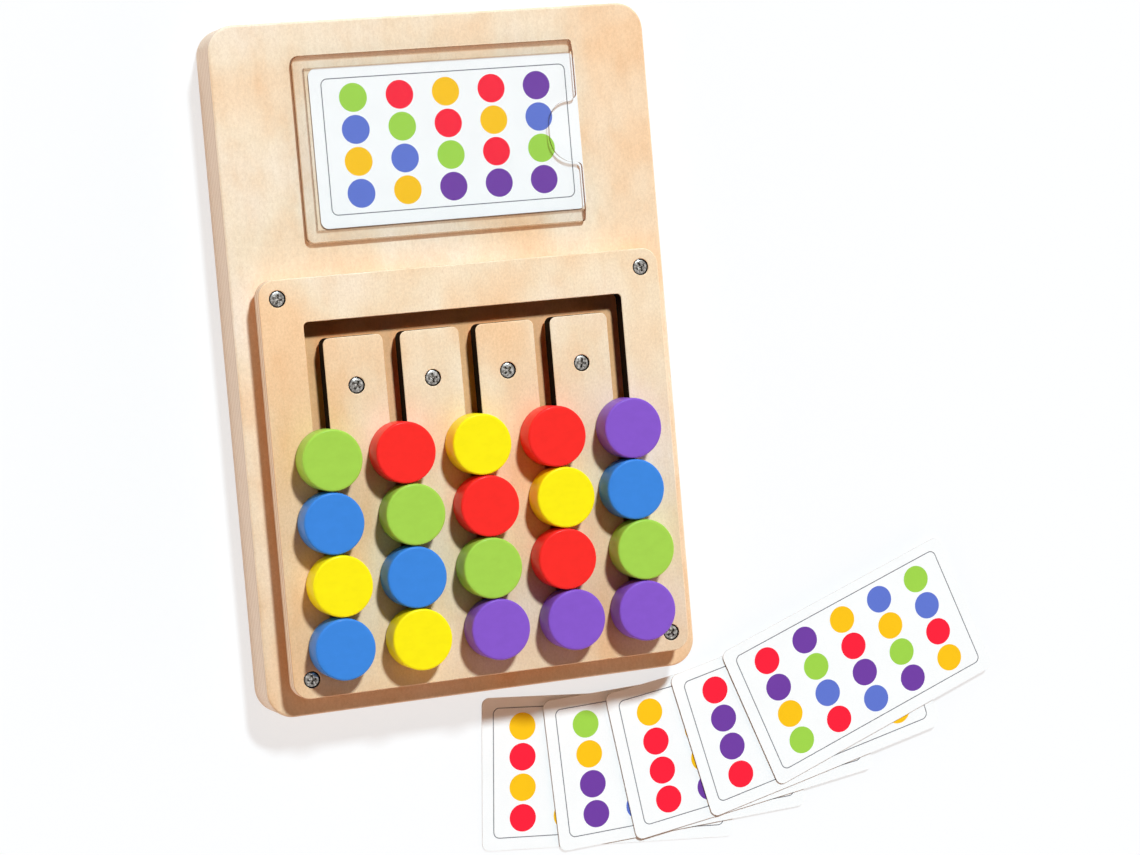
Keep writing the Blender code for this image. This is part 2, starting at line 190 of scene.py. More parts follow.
# %% Materials and colours
def new_material(name, **plain):
    """A material with one Principled shader, and that shader's plain numbers."""
    material = bpy.data.materials.new(name)
    material.use_nodes = True
    shader = material.node_tree.nodes["Principled BSDF"]
    for socket, value in plain.items():
        shader.inputs[socket.replace("_", " ")].default_value = value
    return material, material.node_tree, shader


def empty_material(name):
    """A material whose tree is empty, for finishes that need another shader."""
    material = bpy.data.materials.new(name)
    material.use_nodes = True
    material.node_tree.nodes.clear()
    return material, material.node_tree


def dress(tree, shader, colour, roughness, height, depth):
    """Wires a colour, a roughness and a height, shown so many metres deep, into a Principled shader."""
    normal = add(tree, "Bump", ("Height", height), ("Strength", 1.0), ("Distance", depth)).outputs[0]
    tree.links.new(colour, shader.inputs["Base Color"])
    tree.links.new(roughness, shader.inputs["Roughness"])
    tree.links.new(normal, shader.inputs["Normal"])


def screen_colour(red, green, blue):
    """A colour of 0 to 255 as a screen shows it, as the linear colour that a shader takes."""
    shares = [channel / 255 for channel in (red, green, blue)]
    return tuple(((s + 0.055) / 1.055) ** 2.4 if s > 0.04045 else s / 12.92 for s in shares)


print("mid grey on a screen is", round(screen_colour(128, 128, 128)[0], 3), "to a shader")

# %% [markdown]
# ## Birch
#
# Birch veneer is pale, with broad soft patches of cream and peach, faint long streaks, and fibres so fine
# that they only show as a shimmer. A photograph of birch could be wrapped round the board, but it would
# repeat and blur up close. Noise doesn't: each trait of the wood is a layer of noise with patches of its
# own real size, long along the grain, and its tones are laid over the layers before it. Painted shade makes
# the board a little darker towards its lower end, where the light falls off.

# %% Birch tones
BIRCH_CREAM = screen_colour(250, 231, 203)
BIRCH_PEACH = screen_colour(250, 212, 170)
BIRCH_PALE = screen_colour(252, 236, 216)
PORE_BROWN = screen_colour(206, 164, 122)
# Painted shade: the tone and the length over which the wood darkens towards its lower end, where the light
# falls off.
LOWER_PAINTED_SHADE = (0.87, 0.81, 0.74)
FALLOFF_LENGTH = 180 * MM
FALLOFF_START = 0.85
PORE_SHARE = 0.35
FIBRE_RELIEF = 0.03 * MM

# Each layer: the patches' size in millimetres, detail, roughness, shift, and the tones it multiplies by.
BIRCH_LAYERS = {
    "clouds": (
        (13, 21, 16), 3.0, 0.55, 3,
        [(0.3, (1.02, 1.03, 1.04)), (0.5, (0.99, 0.97, 0.945)), (0.7, (0.965, 0.89, 0.81))],
    ),
    "streaks": ((1.6, 30, 3), 3.0, 0.6, 5, [(0.35, 1.01), (0.75, (0.985, 0.972, 0.955))]),
    "speckle": ((0.9, 1.3, 1.0), 4.0, 0.75, 7, [(0.32, 1.06), (0.7, (0.9, 0.865, 0.82))]),
    "fibres": ((0.22, 3.2, 0.3), 3.0, 0.7, 9, [(0.3, 1.01), (0.7, 0.975)]),
}


def birch_colour(tree, warm, shift, warmer_right):
    """The colour of a birch face with its grain along Y, and its last layer, the fibres, as a height."""
    place = place_on_piece(tree)
    broad = patches(tree, (46, 70, 60), shift=shift)
    warmth = calculate(tree, "MULTIPLY_ADD", place["X"], warmer_right, broad)
    colour = ramp(tree, warmth, (0.3, BIRCH_PALE), (0.5, BIRCH_CREAM), (0.7, BIRCH_PEACH))
    # Painted shade: the colour darkens towards the lower end.
    falloff_share = calculate(tree, "MULTIPLY_ADD", place["Y"], 1 / FALLOFF_LENGTH, FALLOFF_START)
    colour = multiply(tree, multiply(tree, colour, warm), ramp(tree, falloff_share, (0.0, LOWER_PAINTED_SHADE), (1.0, 1.0)))
    for size, detail, roughness, moved, tones in BIRCH_LAYERS.values():
        layer = patches(tree, size, detail, roughness, shift + moved)
        colour = multiply(tree, colour, ramp(tree, layer, *tones))
    pores = patches(tree, (0.3, 2.1, 0.4), detail=1.0, shift=shift + 11)
    colour = mix(tree, ramp(tree, pores, (0.7, 0.0), (0.76, PORE_SHARE)), colour, PORE_BROWN)
    return colour, layer


print("layers over the broad patches of birch:", *BIRCH_LAYERS)


# %% Birch faces
def birch_face(name, warm, shift, warmer_right=0.0, gloss=0.35):
    """Sanded birch under a thin clear coat. Its fibres change the gloss and stand up a little."""
    material, tree, shader = new_material(name, Specular_IOR_Level=gloss)
    colour, fibres = birch_colour(tree, warm, shift, warmer_right)
    dress(tree, shader, colour, ramp(tree, fibres, (0.2, 0.42), (0.8, 0.58)), fibres, FIBRE_RELIEF)
    return material


board_face = birch_face("birch_board_face", (1.0, 0.99, 0.99), shift=1.5, warmer_right=0.6)
panel_face = birch_face("birch_panel_face", (1.0, 0.975, 0.94), shift=20.0, warmer_right=-1.0)
print("birch faces", board_face.name, panel_face.name)

# %% [markdown]
# ## Plywood edges
#
# The side of a plywood board shows its veneers as stripes: one with its fibres along the edge, the next
# with its fibres end on, which is darker and speckled, with a thin glue line between the two. Each veneer
# could be a thin slab of its own, but stripes in the material cost nothing. Height divided by the
# thickness of a veneer counts them, and a slow noise keeps them from being ruler straight. Inside the
# slots the walls are painted nearly black, a painted shade that makes the slots look as deep as they are.

# %% Plywood edges
GLUE_BROWN = screen_colour(150, 112, 78)
BOARD_VENEER = 1.45 * MM
INNER_VENEER = 0.9 * MM
VENEER_WANDER = 0.45
GLUE_SHARE = 0.35
EDGE_RELIEF = 0.05 * MM


def plywood_edge(name, pale, brown, veneer, shift=0.0, gloss=0.25):
    """Stripes of pale long grain and brown end grain, each as high as one veneer."""
    material, tree, shader = new_material(name, Specular_IOR_Level=gloss)
    height = place_on_piece(tree)["Z"]
    wander = patches(tree, (14, 14, 30), shift=shift)
    level = calculate(tree, "MULTIPLY_ADD", wander, VENEER_WANDER, calculate(tree, "DIVIDE", height, veneer))
    within = calculate(tree, "PINGPONG", level, 1.0)
    stripe = ramp(tree, within, (0.42, 0.0), (0.58, 1.0))
    speckle = patches(tree, (0.35, 0.35, 0.25), 3.0, 0.7, shift + 2)
    along = patches(tree, (9, 9, 0.3), 3.0, 0.6, shift + 4)
    pale_ply = multiply(tree, screen_colour(*pale), ramp(tree, along, (0.3, 1.03), (0.7, 0.93)))
    brown_ply = multiply(tree, screen_colour(*brown), ramp(tree, speckle, (0.3, 1.08), (0.7, 0.84)))
    glue = ramp(tree, within, (0.455, 0.0), (0.495, GLUE_SHARE), (0.505, GLUE_SHARE), (0.545, 0.0))
    colour = mix(tree, glue, mix(tree, stripe, pale_ply, brown_ply), GLUE_BROWN)
    grain = mix(tree, stripe, along, speckle)
    dress(tree, shader, colour, ramp(tree, speckle, (0.2, 0.55), (0.8, 0.75)), grain, EDGE_RELIEF)
    return material


board_edge = plywood_edge("birch_board_edge", (243, 227, 207), (230, 209, 186), BOARD_VENEER)
panel_edge = plywood_edge("birch_panel_edge", (246, 226, 202), (222, 190, 158), BOARD_VENEER, shift=5.0)
inner_wood = plywood_edge("inner_plywood", (238, 205, 165), (222, 184, 142), INNER_VENEER, shift=9.0)
# The slot walls are painted nearly black: painted shade, not the colour of the wood.
slot_wall_shade = plywood_edge("painted_shade_slot_wall", (23, 10, 6), (14, 6, 4), BOARD_VENEER, shift=7.0, gloss=0.04)
print("plywood edges", board_edge.name, panel_edge.name, inner_wood.name, slot_wall_shade.name)

# %% [markdown]
# ## Helpers for flat pieces
#
# A flat piece is drawn as one face through a few corners, and a vertex bevel rounds each corner. Extruding
# the face gives a sheet, and an edge bevel eases its rims. A Bevel modifier could do the same, but it
# would round every edge alike, and here the sharp ones stay sharp. A finished piece rides on its body, and
# the node of the imported model that it stands for is hidden. Some operators leave the faces of a mesh in
# an order that changes from run to run, so each mesh is sorted first, and every run gives the same mesh.

# %% Corners into sheets
SAME_POINT = 1e-7
RIM_FOLD = math.radians(45)


def box_corners(low, high, radius, inset=0.0):
    """The four corners of a rectangle, each with the same radius."""
    left, foot = low[0] + inset, low[1] + inset
    right, head = high[0] - inset, high[1] - inset
    return [(left, foot, radius), (right, foot, radius), (right, head, radius), (left, head, radius)]


def flat_face(bm, corners, z, segments=12):
    """A face at height z through corners, each given as x, y and the radius that rounds it."""
    verts = [bm.verts.new((x, y, z)) for x, y, _ in corners]
    face = bm.faces.new(verts)
    for radius in sorted({radius for _, _, radius in corners if radius}):
        chosen = [vert for vert, corner in zip(verts, corners) if corner[2] == radius]
        made = bmesh.ops.bevel(
            bm,
            geom=chosen,
            offset=radius,
            segments=segments,
            profile=0.5,
            affect="VERTICES",
            material=-1,
            clamp_overlap=False,
        )
        face = made["verts"][0].link_faces[0]
    return face


def thicken(bm, faces, height):
    """Extrudes flat faces upwards and returns the faces at the top."""
    made = bmesh.ops.extrude_face_region(bm, geom=list(faces), use_keep_orig=True)["geom"]
    verts = [item for item in made if isinstance(item, bmesh.types.BMVert)]
    bmesh.ops.translate(bm, verts=verts, vec=(0, 0, height))
    return [item for item in made if isinstance(item, bmesh.types.BMFace)]


def ease_rims(bm, z, radius, segments):
    """Rounds every edge at height z between a flat face and an upright one."""
    bmesh.ops.recalc_face_normals(bm, faces=bm.faces[:])
    rims = [
        edge
        for edge in bm.edges
        if all(abs(vert.co.z - z) < SAME_POINT for vert in edge.verts)
        and edge.is_manifold
        and edge.calc_face_angle() > RIM_FOLD
    ]
    bmesh.ops.bevel(
        bm,
        geom=rims,
        offset=radius,
        segments=segments,
        profile=0.5,
        affect="EDGES",
        material=-1,
        loop_slide=False,
    )


print("sheet helpers ready")


# %% Finished pieces
def put_in_order(bm):
    """Sorts the vertices, edges and faces of a bmesh by the places of their corners."""
    for elements in (bm.verts, bm.edges, bm.faces):
        places = {}
        for element in elements:
            verts = getattr(element, "verts", [element])
            places[element] = sorted(tuple(vert.co) for vert in verts)
        ranks = {element: rank for rank, element in enumerate(sorted(places, key=places.get))}
        elements.sort(key=ranks.get)


def finished(name, bm, materials, body, nodes, smooth=35, even=False):
    """Makes the bmesh a piece: shaded, with its materials, riding on its body in place of its nodes."""
    bmesh.ops.recalc_face_normals(bm, faces=bm.faces[:])
    put_in_order(bm)
    mesh = bpy.data.meshes.new(name)
    bm.to_mesh(mesh)
    bm.free()
    mesh.shade_smooth()
    mesh.set_sharp_from_angle(angle=math.radians(smooth))
    for material in materials:
        mesh.materials.append(material)
    piece = bpy.data.objects.new(name, mesh)
    scene.collection.objects.link(piece)
    if even:
        piece.modifiers.new("even_faces", "WEIGHTED_NORMAL").keep_sharp = True
    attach(piece, body)
    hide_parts(*nodes)
    return piece


def millimetres(low, high):
    """The sides of a box in millimetres, to print."""
    return [round((far - near) / MM, 1) for near, far in zip(low, high)]


def middle_of(low, high):
    """The middle of a box."""
    return (Vector(low) + Vector(high)) / 2


# %% [markdown]
# ## Base board
#
# The board is a thick sheet of birch plywood, with large round corners and rims that sandpaper has eased.
# A scaled cube with a bevel would do too. A flat face that is rounded first and extruded after keeps the
# round corners and the eased rims apart, each with its own size. Faces that stand upright get the striped
# edge.

# %% Base board
BOARD_CORNER = 12 * MM
BOARD_EASING = 1.2 * MM
UPRIGHT_LEAN = 0.6


def use_edge_material(bm):
    """Gives upright faces the second material."""
    for face in bm.faces:
        face.normal_update()
        if abs(face.normal.z) < UPRIGHT_LEAN:
            face.material_index = 1


board_low, board_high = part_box("base_board")
bm = bmesh.new()
sheet = flat_face(bm, box_corners(board_low, board_high, BOARD_CORNER), board_low[2], segments=20)
thicken(bm, [sheet], board_high[2] - board_low[2])
ease_rims(bm, board_high[2], BOARD_EASING, segments=5)
ease_rims(bm, board_low[2], BOARD_EASING, segments=3)
use_edge_material(bm)
finished("birch_board", bm, [board_face, board_edge], "board", ["base_board"], even=True)
print("board", millimetres(board_low, board_high), "mm")

# %% [markdown]
# ## The comb
#
# A thinner panel lies on the board. A channel across its top and five slots below it make one opening,
# like a comb, and the wood between the slots makes four fingers with rounded tips. A Boolean could cut
# each slot. One outline that goes down and up every slot is cleaner, because all its corners are rounded
# in the same way.

# %% Outline of the comb
SLOT_WIDTH = 7.6 * MM
CHANNEL_WIDTH = 7.6 * MM
COLUMN_PITCH = 34.6 * MM
COLUMNS = 5
PANEL_TOP_BORDER = 19.3 * MM
PANEL_BOTTOM_BORDER = 17.1 * MM
OPENING_CORNER = 2 * MM
FINGER_CORNER = 3 * MM

panel_low, panel_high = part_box("comb_panel")
opening_head = panel_high[1] - PANEL_TOP_BORDER
finger_head = opening_head - CHANNEL_WIDTH
slot_foot = panel_low[1] + PANEL_BOTTOM_BORDER


def column_x(column):
    """The middle line of a slot, counted from the left."""
    return middle_of(panel_low, panel_high).x + (column - (COLUMNS - 1) / 2) * COLUMN_PITCH


def comb_corners():
    """The comb's outline: down and up each slot, round each finger's tip, and back along the channel."""
    half = SLOT_WIDTH / 2
    corners = [(column_x(0) - half, opening_head, OPENING_CORNER)]
    for column in range(COLUMNS):
        left, right = column_x(column) - half, column_x(column) + half
        if column > 0:
            corners.append((left, finger_head, FINGER_CORNER))
        corners += [(left, slot_foot, half), (right, slot_foot, half)]
        if column < COLUMNS - 1:
            corners.append((right, finger_head, FINGER_CORNER))
    corners.append((column_x(COLUMNS - 1) + half, opening_head, OPENING_CORNER))
    return corners


print("comb of", COLUMNS, "slots, corners", len(comb_corners()))

# %% [markdown]
# ## Comb panel
#
# The panel's outline, the comb's and the round screw holes are drawn in one plane, and a triangle fill
# covers the region between them. Only then is it extruded, which turns every outline into a wall at once,
# and the fill's triangles are dissolved into large flat faces. The holes are a little wider than the screw
# heads, so a thin dark ring shows around each, partly real shade and partly the painted shade of their
# walls. Walls that lie well inside the panel get the painted shade of the slot walls, and its outer sides
# the plain stripes.

# %% Comb panel
PANEL_CORNER = 7.5 * MM
PANEL_EASING = 0.5 * MM
HOLE_PLAY = 0.22 * MM
OUTER_WALL_DEPTH = 3 * MM
HOLE_STEPS = 48
ONE_PLANE = math.radians(1)


def fill_between(bm, faces):
    """Takes away faces that lie in one plane and fills the region between their outlines."""
    rims = list({edge for face in faces for edge in face.edges})
    bmesh.ops.delete(bm, geom=faces, context="FACES_ONLY")
    made = bmesh.ops.triangle_fill(bm, use_beauty=True, edges=rims)["geom"]
    return [item for item in made if isinstance(item, bmesh.types.BMFace)]


def depth_inside(face, low, high):
    """How far the middle of a face lies inside a box, as seen from above."""
    x, y, _ = face.calc_center_median()
    return min(x - low[0], high[0] - x, y - low[1], high[1] - y)


bm = bmesh.new()
flat_face(bm, box_corners(panel_low, panel_high, PANEL_CORNER), panel_low[2], segments=16)
flat_face(bm, comb_corners(), panel_low[2], segments=10)
screws = sorted(name for name in frame["nodes"] if "_screw_" in name)
for node in screws:
    low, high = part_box(node)
    place = Matrix.Translation((*middle_of(low, high).xy, panel_low[2]))
    hole = (high[0] - low[0]) / 2 + HOLE_PLAY
    bmesh.ops.create_circle(bm, cap_ends=True, segments=HOLE_STEPS, radius=hole, matrix=place)
bmesh.ops.remove_doubles(bm, verts=bm.verts[:], dist=SAME_POINT)
sheet = fill_between(bm, bm.faces[:])
thicken(bm, sheet, panel_high[2] - panel_low[2])
bmesh.ops.dissolve_limit(bm, angle_limit=ONE_PLANE, verts=bm.verts[:], edges=bm.edges[:])
ease_rims(bm, panel_high[2], PANEL_EASING, segments=3)
use_edge_material(bm)
# Walls well inside the panel, in the slots and round the screw holes, get the painted shade.
for face in bm.faces:
    if face.material_index == 1 and depth_inside(face, panel_low, panel_high) > OUTER_WALL_DEPTH:
        face.material_index = 2
woods = [panel_face, panel_edge, slot_wall_shade]
finished("slotted_panel", bm, woods, "board", ["comb_panel"], even=True)
print("panel", millimetres(panel_low, panel_high), "mm with", len(screws), "screw holes")

# %% [markdown]
# ## The layers below
#
# Under the panel lie a spacer and the floor of the slots, and each knob has a wooden foot that holds it
# down. They could be modelled again, but only the floor shows, so they keep the shape that the frame gives
# them. The floor is a browner birch with hardly any gloss, because no polish reaches it, and the feet are
# turned wood.

# %% Inner layers and feet
slot_floor = birch_face("birch_slot_floor", (0.98, 0.66, 0.43), shift=40.0, gloss=0.05)

turned_wood, tree, shader = new_material("turned_wood", Specular_IOR_Level=0.3)
rings = patches(tree, (1.5, 1.5, 0.25), detail=3.0)
ring_colour = ramp(tree, rings, (0.3, screen_colour(232, 200, 158)), (0.7, screen_colour(205, 165, 120)))
dress(tree, shader, ring_colour, ramp(tree, rings, (0.2, 0.5), (0.8, 0.7)), rings, FIBRE_RELIEF)

finishes_of_nodes = {"floor_sheet": slot_floor, "spacer_layer": inner_wood}
for name in frame["nodes"]:
    if name.endswith("_foot"):
        finishes_of_nodes[name] = turned_wood
for name, material in finishes_of_nodes.items():
    frame["nodes"][name].material_slots[0].material = material
print("nodes with a new finish", len(finishes_of_nodes))

# %% [markdown]
# ## Paint
#
# The knobs are dipped in satin paint, thick enough to hide the grain, with a faint orange peel and soft
# clouds where it dried unevenly. A plain red would look like plastic. A cloud of noise moves the colour
# and the gloss by a few hundredths, and a fine bump breaks up the reflections. The paint itself mirrors
# little, or the pale wood around the knobs would wash out their sides, and a thin coat on the shader adds
# the sheen.

# %% Paints
PAINTS = {
    "green": (166, 210, 78),
    "blue": (62, 134, 218),
    "yellow": (255, 236, 20),
    "red": (253, 46, 40),
    "purple": (136, 88, 200),
}
SATIN = {"Specular_IOR_Level": 0.08, "Coat_Weight": 0.05, "Coat_Roughness": 0.15}
PEEL_RELIEF = 0.012 * MM


def satin_paint(name, colour):
    """Satin paint over turned wood."""
    material, tree, shader = new_material(name, **SATIN)
    cloud = patches(tree, (6, 4, 6), 3.0, 0.6)
    shaded = multiply(tree, screen_colour(*colour), ramp(tree, cloud, (0.3, 0.965), (0.7, 1.02)))
    peel = patches(tree, (0.55, 0.75, 0.55), shift=4.0)
    dress(tree, shader, shaded, ramp(tree, cloud, (0.3, 0.3), (0.7, 0.4)), peel, PEEL_RELIEF)
    return material


paint = {name: satin_paint("paint_" + name, colour) for name, colour in PAINTS.items()}
print("paints", sorted(paint))

# %% [markdown]
# ## Knob caps
#
# Each knob is a disc from a lathe, with a rounded rim and a bore for its foot. A cylinder with a bevel
# would look the same from above. Drawing half of its outline and spinning it, as a lathe does, also makes
# the bore and the tighter rounding below. Each knob has a mesh of its own, so it keeps its own place and
# its own grain.

# %% Turned shapes
RIM_ROUNDING = 0.9 * MM
FOOT_ROUNDING = 0.3 * MM
STEM_BORE = 2.4 * MM
STEM_BORE_DEPTH = 6.3 * MM
CAP_STEPS = 96
FOOT_STEPS = 3
RIM_STEPS = 8


def spun(profile, steps):
    """A bmesh of a half outline, given as radii and heights from axis to axis, turned about Z."""
    bm = bmesh.new()
    verts = [bm.verts.new((radius, 0, height)) for radius, height in profile]
    edges = [bm.edges.new(pair) for pair in zip(verts, verts[1:])]
    bmesh.ops.spin(
        bm,
        geom=verts + edges,
        cent=(0, 0, 0),
        axis=(0, 0, 1),
        angle=math.tau,
        steps=steps,
        use_merge=True,
    )
    bmesh.ops.remove_doubles(bm, verts=bm.verts[:], dist=SAME_POINT)
    return bm


def rounded_rim(radius, height, rounding, steps):
    """Points from the side to the face above it. A negative rounding leads up from the face below."""
    points = []
    for step in range(steps + 1):
        turn = math.pi / 2 * step / steps
        inward = abs(rounding) * (1 - math.cos(turn))
        along = rounding * (1 - math.sin(turn))
        points.append((radius - inward, height - along))
    return points if rounding > 0 else points[::-1]


print("a cap's rim is rounded by", RIM_ROUNDING / MM, "mm")

# %% Knob caps
slot_of = {part["node"]: part["material_slot"] for part in frame["record"]["subparts"]}


def make_cap(node):
    """The painted cap in place of a node, in the paint that the record names for it."""
    low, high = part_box(node)
    radius = (high[0] - low[0]) / 2
    height = high[2] - low[2]
    profile = [(0, STEM_BORE_DEPTH), (STEM_BORE, STEM_BORE_DEPTH), (STEM_BORE, 0)]
    profile += rounded_rim(radius, 0, -FOOT_ROUNDING, FOOT_STEPS)
    profile += rounded_rim(radius, height, RIM_ROUNDING, RIM_STEPS)
    profile += [(radius - 2 * RIM_ROUNDING, height), (0, height)]
    bm = spun(profile, CAP_STEPS)
    bmesh.ops.translate(bm, verts=bm.verts[:], vec=(*middle_of(low, high).xy, low[2]))
    colour = slot_of[node].removeprefix("paint_")
    body = node.removesuffix("_cap")
    finished("painted_" + node, bm, [paint[colour]], body, [node], smooth=50)


caps = sorted(name for name in frame["nodes"] if name.endswith("_cap"))
for node in caps:
    make_cap(node)

# %% [markdown]
# ## Steel
#
# The screws are plated steel, worn by the screwdriver. A mirror finish would turn them white here, because
# the studio around them is white, so scuffs of light and dark grey break it up. Painted shade darkens the
# chamfer and the mouth of the cross, and a painted highlight brightens the floor of the cross. A ramp over
# the depth below the head's face puts them there.

# %% Steel
SCREW_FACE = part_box("finger_screw_1")[1][2]
PAINTED_SHADE_DEPTH = 0.9 * MM
SCUFF_RELIEF = 0.06 * MM

screw_steel, tree, shader = new_material("plated_steel", Metallic=1.0)
scuffs = patches(tree, (0.9, 0.9, 0.9), 4.0, 0.7)
scuffed = ramp(tree, scuffs, (0.34, (0.66, 0.64, 0.6)), (0.5, (0.28, 0.26, 0.24)), (0.64, (0.1, 0.09, 0.08)))
height = place_on_piece(tree)["Z"]
above = calculate(tree, "MULTIPLY_ADD", height, 1 / PAINTED_SHADE_DEPTH, 1 - SCREW_FACE / PAINTED_SHADE_DEPTH)
# Painted shade on the chamfer and at the mouth of the cross, and a painted highlight on its floor.
painted_shade_and_glint = ramp(tree, above, (0.3, 1.5), (0.5, 0.12), (0.8, 0.16), (0.97, 1.0))
roughness = ramp(tree, scuffs, (0.25, 0.18), (0.75, 0.36))
dress(tree, shader, multiply(tree, scuffed, painted_shade_and_glint), roughness, scuffs, SCUFF_RELIEF)
print("steel with grime down to", PAINTED_SHADE_DEPTH / MM, "mm")

# %% [markdown]
# ## Screws
#
# Each is a countersunk screw with a cross recess. The head is spun, with a chamfer around its face. A
# tapered cross cuts the recess: a plus sign is extruded down and its floor is shrunk. A live Boolean
# modifier would need the cutter to stay in the scene, so its result is taken at once, and the cutter goes.
# Each cross is turned its own way, as a hand leaves it.

# %% Cross recess
CROSS_REACH = 2.3 * MM
CROSS_ARM = 0.6 * MM
CROSS_DEPTH = 1.5 * MM
CROSS_TAPER = 0.36
CUTTER_OVERRUN = 0.3 * MM


def plus_corners():
    """The twelve corners of a plus sign."""
    corners = []
    for quarter in range(4):
        turn = Matrix.Rotation(math.pi / 2 * quarter, 2)
        for point in ((CROSS_REACH, -CROSS_ARM), (CROSS_REACH, CROSS_ARM), (CROSS_ARM, CROSS_ARM)):
            corners.append((*(turn @ Vector(point)), 0))
    return corners


def cross_cutter():
    """A plus sign at the origin that narrows downwards."""
    bm = bmesh.new()
    mouth = flat_face(bm, plus_corners(), CUTTER_OVERRUN)
    floor = thicken(bm, [mouth], -CROSS_DEPTH - CUTTER_OVERRUN)
    floor_verts = list({vert for face in floor for vert in face.verts})
    bmesh.ops.scale(bm, vec=(CROSS_TAPER, CROSS_TAPER, 1), verts=floor_verts)
    return bm


def cut_away(solid_bm, cutter_bm):
    """The bmesh less the solid of another, by a Boolean whose result is read at once."""
    objects = []
    for name, bm in (("solid", solid_bm), ("cutter", cutter_bm)):
        bmesh.ops.recalc_face_normals(bm, faces=bm.faces[:])
        mesh = bpy.data.meshes.new(name)
        bm.to_mesh(mesh)
        bm.free()
        objects.append(bpy.data.objects.new(name, mesh))
        scene.collection.objects.link(objects[-1])
    modifier = objects[0].modifiers.new("cut", "BOOLEAN")
    modifier.operation = "DIFFERENCE"
    modifier.object = objects[1]
    bpy.context.view_layer.update()
    result = bmesh.new()
    result.from_object(objects[0], bpy.context.evaluated_depsgraph_get())
    for obj in objects:
        mesh = obj.data
        bpy.data.objects.remove(obj)
        bpy.data.meshes.remove(mesh)
    return result


print("cross", 2 * CROSS_REACH / MM, "mm wide and", CROSS_DEPTH / MM, "mm deep")

# %% Screws
HEAD_HEIGHT = 2.2 * MM
HEAD_RIM = 0.3 * MM
HEAD_CHAMFER = 0.6 * MM
SHANK_RADIUS = 1.7 * MM
TIP_LENGTH = 4 * MM
SCREW_STEPS = 64
SCREW_TURN_STEP = math.radians(37)


def make_screw(node, turn):
    """A screw with its face at the origin, cut, turned and then set in its hole."""
    low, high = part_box(node)
    radius = (high[0] - low[0]) / 2
    length = high[2] - low[2]
    profile = [
        (0, -length),
        (SHANK_RADIUS, TIP_LENGTH - length),
        (SHANK_RADIUS, -HEAD_HEIGHT),
        (radius, -HEAD_RIM - HEAD_CHAMFER / 2),
        (radius, -HEAD_CHAMFER / 2),
        (radius - HEAD_CHAMFER, 0),
        (0, 0),
    ]
    bm = cut_away(spun(profile, SCREW_STEPS), cross_cutter())
    bmesh.ops.rotate(bm, verts=bm.verts[:], cent=(0, 0, 0), matrix=Matrix.Rotation(turn, 3, "Z"))
    bmesh.ops.translate(bm, verts=bm.verts[:], vec=(*middle_of(low, high).xy, high[2]))
    finished("steel_" + node, bm, [screw_steel], "board", [node], smooth=30)


for index, node in enumerate(screws):
    make_screw(node, index * SCREW_TURN_STEP)

# %% [markdown]
# ## Clear plastic
#
# The holder is clear acrylic. A glass shader would bend the light as real plastic does, but it is slow and
# noisy over a white card, and blocks the lamps. A mix of a Transparent and a glossy shader lets the light
# straight through. The share of gloss grows towards a glancing view, as it does on any clear surface.
# Light that travels along a wall is caught inside it, and that is painted here: a wall seen aslant is
# painted brown, a painted shade, and one seen from straight ahead is nearly clear. There are six finishes,
# one for each kind of face: the flat face, the slope, a line of painted shade along the slope's foot, the
# outer and the inner walls, and joints, which don't show.

# %% Clear plastic
GRAZING_POWER = 5.0
AHEAD = 0.33
ASLANT = 0.42
CLEAR = (1.0, 1.0, 1.0)
# The brown of the line along the slope's foot, a painted shade.
LINE_PAINTED_SHADE = (0.72, 0.56, 0.45)
FACE, SLOPE, LINE_BAND, WALL, INNER_WALL, JOINT = range(6)


def clear_acrylic(name, aslant_shade, ahead, straight=0.015, grazing=0.9):
    """Clear plastic: its colour seen aslant and from straight ahead, brown painted shade on walls and lines,
    and its share of gloss likewise.
    """
    material, tree = empty_material(name)
    haze = patches(tree, (9, 9, 9), detail=3.0)
    facing = add(tree, "LayerWeight", ("Blend", 0.5)).outputs["Facing"]
    tone = mix(tree, ramp(tree, facing, (AHEAD, 0.0), (ASLANT, 1.0)), ahead, aslant_shade)
    tone = multiply(tree, tone, ramp(tree, haze, (0.3, 1.0), (0.7, 0.994)))
    through = add(tree, "BsdfTransparent", ("Color", tone))
    shine = add(tree, "BsdfAnisotropic", ("Roughness", ramp(tree, haze, (0.3, 0.02), (0.7, 0.07))))
    glancing = calculate(tree, "POWER", facing, GRAZING_POWER)
    share = calculate(tree, "MULTIPLY_ADD", glancing, grazing, straight)
    both = add(tree, "MixShader", (0, share), (1, through.outputs[0]), (2, shine.outputs[0]))
    add(tree, "OutputMaterial", ("Surface", both.outputs[0]))
    return material


acrylic = [
    clear_acrylic("acrylic_face", CLEAR, CLEAR),
    clear_acrylic("acrylic_slope", CLEAR, CLEAR, straight=0.035),
    # The line band, the wall and the inner wall are painted brown: painted shade for light caught in the
    # plastic.
    clear_acrylic("acrylic_painted_shade_line", LINE_PAINTED_SHADE, LINE_PAINTED_SHADE),
    clear_acrylic("acrylic_wall", (0.3, 0.13, 0.06), (0.8, 0.72, 0.66)),
    clear_acrylic("acrylic_inner_wall", (0.55, 0.44, 0.38), (0.85, 0.78, 0.73)),
    clear_acrylic("acrylic_joint", CLEAR, CLEAR, straight=0.0, grazing=0.0),
]
print("acrylic finishes", len(acrylic))

# %% [markdown]
# ## Holder rim
#
# A clear U lies on the board and makes the pocket that the card slides into from the right. It could be
# joined to the cover, but as a piece of its own it has walls next to the card, and their painted shade
# draws the fine brown lines around it. It reaches to a film of glue on the board and under the cover, so
# that no light slips through between them, and its flat faces get the joint finish.

